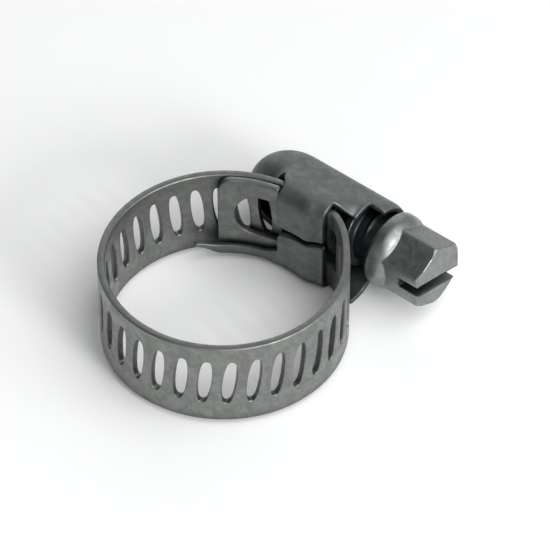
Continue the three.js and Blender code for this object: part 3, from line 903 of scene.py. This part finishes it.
def group_sockets(name, inputs, outputs):
    """Empty shader node group with its named sockets, and its two end nodes."""
    group = bpy.data.node_groups.new(name, "ShaderNodeTree")
    for label, kind, value in inputs:
        socket = group.interface.new_socket(label, in_out="INPUT", socket_type=kind)
        socket.default_value = value
    for label, kind in outputs:
        group.interface.new_socket(label, in_out="OUTPUT", socket_type=kind)
    start = group.nodes.new("NodeGroupInput")
    end = group.nodes.new("NodeGroupOutput")
    return group, start, end


def noise(tree, vector, scale, detail, roughness, distortion=0.0):
    """Value of a noise texture read at a vector."""
    node = tree.nodes.new("ShaderNodeTexNoise")
    node.inputs["Scale"].default_value = scale
    node.inputs["Detail"].default_value = detail
    node.inputs["Roughness"].default_value = roughness
    node.inputs["Distortion"].default_value = distortion
    tree.links.new(vector, node.inputs["Vector"])
    return node.outputs["Fac"]


def remap(tree, value, low, high, to_low=0.0, to_high=1.0):
    """Value carried smoothly from one range to another."""
    node = tree.nodes.new("ShaderNodeMapRange")
    node.interpolation_type = "SMOOTHSTEP"
    node.inputs["From Min"].default_value = low
    node.inputs["From Max"].default_value = high
    node.inputs["To Min"].default_value = to_low
    node.inputs["To Max"].default_value = to_high
    tree.links.new(value, node.inputs["Value"])
    return node.outputs["Result"]


def calc(tree, operation, a, b=None):
    """Result of a math node on sockets or plain numbers."""
    node = tree.nodes.new("ShaderNodeMath")
    node.operation = operation
    for socket, value in zip(node.inputs, (a, b)):
        if isinstance(value, (int, float)):
            socket.default_value = value
        elif value is not None:
            tree.links.new(value, socket)
    return node.outputs[0]


def cloudy_metal_group():
    """Uneven satin of tumbled stainless: soft clouds a millimetre or so across, streaked pits,
    and a fine tooth for the bump."""
    group, start, end = group_sockets(
        "cloudy_metal",
        [("Coarseness", "NodeSocketFloat", 1.0)],
        [("Clouds", "NodeSocketFloat"), ("Pits", "NodeSocketFloat"), ("Height", "NodeSocketFloat")],
    )
    place = group.nodes.new("ShaderNodeTexCoord")
    sized = group.nodes.new("ShaderNodeVectorMath")
    sized.operation = "SCALE"
    group.links.new(place.outputs["Object"], sized.inputs[0])
    group.links.new(start.outputs["Coarseness"], sized.inputs["Scale"])
    at = sized.outputs[0]
    clouds = noise(group, at, 900, 5, 0.6, 1.2)
    pits = noise(group, at, 2600, 4, 0.65, 2.0)
    tooth = noise(group, at, 9000, 2, 0.5)
    waves = noise(group, at, 450, 3, 0.5, 0.6)
    group.links.new(remap(group, clouds, 0.3, 0.72), end.inputs["Clouds"])
    group.links.new(remap(group, pits, 0.56, 0.72), end.inputs["Pits"])
    height = calc(group, "MULTIPLY", waves, 0.4)
    height = calc(group, "ADD", height, calc(group, "MULTIPLY", tooth, 0.1))
    height = calc(group, "ADD", height, calc(group, "MULTIPLY", pits, 0.22))
    group.links.new(height, end.inputs["Height"])
    return group


def painted_shade_and_wear_group():
    """Painted shade in folds and slots, from ambient occlusion, and a lightening along edges that is
    partly bare worn metal and partly a painted highlight, as two masks.
    """
    group, start, end = group_sockets(
        "painted_shade_and_wear_highlight",
        [("Reach", "NodeSocketFloat", 0.002), ("Edge", "NodeSocketFloat", 0.00012)],
        [("Painted_shade", "NodeSocketFloat"), ("Wear_and_highlight", "NodeSocketFloat")],
    )
    # Painted shade: ambient occlusion within Reach gives the mask for darkening recesses
    hollow = group.nodes.new("ShaderNodeAmbientOcclusion")
    hollow.samples = 8
    group.links.new(start.outputs["Reach"], hollow.inputs["Distance"])
    group.links.new(remap(group, hollow.outputs["AO"], 0.3, 0.9, 1.0, 0.0), end.inputs["Painted_shade"])
    # Edges found by the bevel normal: partly bare worn metal, partly a painted highlight
    rounded = group.nodes.new("ShaderNodeBevel")
    rounded.samples = 4
    group.links.new(start.outputs["Edge"], rounded.inputs["Radius"])
    surface = group.nodes.new("ShaderNodeNewGeometry")
    facing = group.nodes.new("ShaderNodeVectorMath")
    facing.operation = "DOT_PRODUCT"
    group.links.new(rounded.outputs["Normal"], facing.inputs[0])
    group.links.new(surface.outputs["Normal"], facing.inputs[1])
    group.links.new(remap(group, facing.outputs["Value"], 0.99, 0.9), end.inputs["Wear_and_highlight"])
    return group


def steel(name, groups, light, dark, wear_and_highlight_share, roughness, coarseness, bump):
    """Dull stainless: mottled between two greys, with painted shade darkening its recesses, and
    brighter along its edges by the given share, partly as bare worn metal and partly as a painted
    highlight."""
    material = bpy.data.materials.new(name)
    material.use_nodes = True
    tree = material.node_tree
    shader = tree.nodes["Principled BSDF"]
    shader.inputs["Metallic"].default_value = 1.0
    cloudy = tree.nodes.new("ShaderNodeGroup")
    cloudy.node_tree = groups[0]
    cloudy.inputs["Coarseness"].default_value = coarseness
    shade_and_wear = tree.nodes.new("ShaderNodeGroup")
    shade_and_wear.node_tree = groups[1]
    base = mixed(tree, cloudy.outputs["Clouds"], dark, light)
    pits = calc(tree, "MULTIPLY", cloudy.outputs["Pits"], PIT_DEPTH)
    pitted = mixed(tree, pits, base, scaled(dark, PIT_SHADE))
    # Painted shade: recesses found by ambient occlusion are darkened towards a near-black blue-grey
    painted_shade = calc(tree, "MULTIPLY", shade_and_wear.outputs["Painted_shade"], PAINTED_SHADE_DEPTH)
    with_painted_shade = mixed(tree, painted_shade, pitted, PAINTED_SHADE_COLOUR)
    # Edges lightened towards a paler grey: partly bare worn metal, partly a painted highlight
    if wear_and_highlight_share:
        wear_and_highlight = calc(tree, "MULTIPLY", shade_and_wear.outputs["Wear_and_highlight"], wear_and_highlight_share)
        with_painted_shade = mixed(tree, wear_and_highlight, with_painted_shade, scaled(light, WEAR_AND_HIGHLIGHT_GAIN))
    tree.links.new(with_painted_shade, shader.inputs["Base Color"])
    # Roughness also rises where the painted shade falls
    spread = remap(tree, cloudy.outputs["Clouds"], 0, 1, roughness + 0.08, roughness - 0.05)
    spread = calc(tree, "ADD", spread, calc(tree, "MULTIPLY", shade_and_wear.outputs["Painted_shade"], 0.15))
    tree.links.new(spread, shader.inputs["Roughness"])
    relief = tree.nodes.new("ShaderNodeBump")
    relief.inputs["Strength"].default_value = bump
    relief.inputs["Distance"].default_value = RELIEF_DEPTH
    tree.links.new(cloudy.outputs["Height"], relief.inputs["Height"])
    tree.links.new(relief.outputs["Normal"], shader.inputs["Normal"])
    return material


def scaled(colour, share):
    """Colour times a share, held at 1."""
    return tuple(min(1.0, c * share) for c in colour)


def mixed(tree, share, a, b):
    """Colour that goes from a to b as the share goes from 0 to 1."""
    node = tree.nodes.new("ShaderNodeMix")
    node.data_type = "RGBA"
    tree.links.new(share, node.inputs["Factor"])
    for socket, value in ((node.inputs[6], a), (node.inputs[7], b)):
        if isinstance(value, tuple):
            socket.default_value = (*value, 1)
        else:
            tree.links.new(value, socket)
    return node.outputs[2]


# ---------------------------------------------------------------- stage

def make_camera():
    """Long lens at the azimuth, elevation and distance given above, aimed at CAMERA_AIM."""
    azimuth = math.radians(CAMERA_AZIMUTH)
    elevation = math.radians(CAMERA_ELEVATION)
    back = Vector((
        math.sin(azimuth) * math.cos(elevation),
        -math.cos(azimuth) * math.cos(elevation),
        math.sin(elevation),
    ))
    camera = bpy.data.objects.new("camera", bpy.data.cameras.new("camera"))
    camera.data.lens = CAMERA_LENS
    camera.data.sensor_width = 36
    camera.data.clip_start = 0.01
    camera.data.clip_end = 10
    camera.location = Vector(CAMERA_AIM) + back * CAMERA_DISTANCE
    camera.rotation_euler = (-back).to_track_quat("-Z", "Y").to_euler()
    bpy.context.scene.collection.objects.link(camera)
    bpy.context.scene.camera = camera


def make_floor():
    """Plain pale sheet under the clamp."""
    half = 0.6
    corners = [(-half, -half, 0), (half, -half, 0), (half, half, 0), (-half, half, 0)]
    mesh = bpy.data.meshes.new("floor")
    mesh.from_pydata(corners, [], [(0, 1, 2, 3)])
    floor = bpy.data.objects.new("floor", mesh)
    material = bpy.data.materials.new("pale_floor")
    material.use_nodes = True
    shader = material.node_tree.nodes["Principled BSDF"]
    shader.inputs["Base Color"].default_value = (0.93, 0.93, 0.93, 1)
    shader.inputs["Roughness"].default_value = 0.9
    mesh.materials.append(material)
    bpy.context.scene.collection.objects.link(floor)


def soft_light(name, azimuth, elevation, distance, size, power):
    """Square soft box that faces the clamp."""
    data = bpy.data.lights.new(name, "AREA")
    data.shape = "SQUARE"
    data.size = size
    data.energy = power
    light = bpy.data.objects.new(name, data)
    turn = math.radians(azimuth)
    rise = math.radians(elevation)
    back = Vector((
        math.sin(turn) * math.cos(rise),
        -math.cos(turn) * math.cos(rise),
        math.sin(rise),
    ))
    light.location = back * distance
    light.rotation_euler = (-back).to_track_quat("-Z", "Y").to_euler()
    bpy.context.scene.collection.objects.link(light)


def make_studio():
    """Pale surround that dims smoothly towards DARK_SKY, and three soft boxes."""
    world = bpy.data.worlds.new("studio")
    bpy.context.scene.world = world
    world.use_nodes = True
    tree = world.node_tree
    surround = tree.nodes["Background"]
    surround.inputs["Color"].default_value = (0.96, 0.98, 1.0, 1)
    place = tree.nodes.new("ShaderNodeTexCoord")
    toward = tree.nodes.new("ShaderNodeVectorMath")
    toward.operation = "DOT_PRODUCT"
    toward.inputs[1].default_value = DARK_SKY
    tree.links.new(place.outputs["Generated"], toward.inputs[0])
    strength = remap(tree, toward.outputs["Value"], 0.25, 0.9, 0.5, 0.1)
    tree.links.new(strength, surround.inputs["Strength"])
    soft_light("overhead_right", 90, 55, 0.5, 0.62, 2.5)
    soft_light("right_side", 78, 25, 0.45, 0.12, 1.0)
    soft_light("back_left", 225, 25, 0.5, 0.34, 0.35)
    bpy.context.scene.view_settings.view_transform = "Standard"


# ---------------------------------------------------------------- assembly


def bend_with(piece, nodes):
    """Strip piece that stands for CAD nodes: its placement is baked into its mesh and the nodes are
    hidden.
    """
    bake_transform(piece)
    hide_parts(*nodes)


make_camera()
make_floor()
make_studio()

finish_groups = (cloudy_metal_group(), painted_shade_and_wear_group())
strip_steel = steel(
    "strip_steel",
    finish_groups,
    light=(0.256, 0.265, 0.25),
    dark=(0.193, 0.201, 0.191),
    wear_and_highlight_share=0,
    roughness=0.42,
    coarseness=1.0,
    bump=0.22,
)
housing_steel = steel(
    "housing_steel",
    finish_groups,
    light=(0.2, 0.217, 0.211),
    dark=(0.164, 0.18, 0.178),
    wear_and_highlight_share=0.35,
    roughness=0.52,
    coarseness=0.9,
    bump=0.2,
)
screw_steel = steel(
    "screw_steel",
    finish_groups,
    light=(0.285, 0.3, 0.286),
    dark=(0.235, 0.249, 0.239),
    wear_and_highlight_share=0.5,
    roughness=0.4,
    coarseness=1.2,
    bump=0.2,
)
# Shaded copy of the screw's steel for the worm, painted much darker for the shade it sits in inside
# the housing
shaded_screw_steel = steel(
    "shaded_screw_steel",
    finish_groups,
    light=(0.075, 0.08, 0.085),
    dark=(0.04, 0.044, 0.048),
    wear_and_highlight_share=0.3,
    roughness=0.36,
    coarseness=1.2,
    bump=0.25,
)

fixed_side = strip_fixed_side(strip_steel)
front = strip_front(strip_steel)
free_side = strip_free_side(strip_steel)
fixed_nodes = ["strip_fixed_end", "strip_right_stretch"]
bend_with(fixed_side, fixed_nodes)
bend_with(front, ["strip_left_stretch"])
bend_with(free_side, ["strip_free_end"])

# The worm, part of the screw, gets the darker shaded copy of the screw's steel
worm = screw_worm(shaded_screw_steel)
head = screw_head(screw_steel)
shell = housing_shell(housing_steel)
rigid_pieces = (
    (worm, "screw", "screw_steel"),
    (head, "screw", "screw_steel"),
    (shell, "housing", "housing_steel"),
)
for piece, body, slot in rigid_pieces:
    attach(piece, body)
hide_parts("screw")
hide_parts("housing")
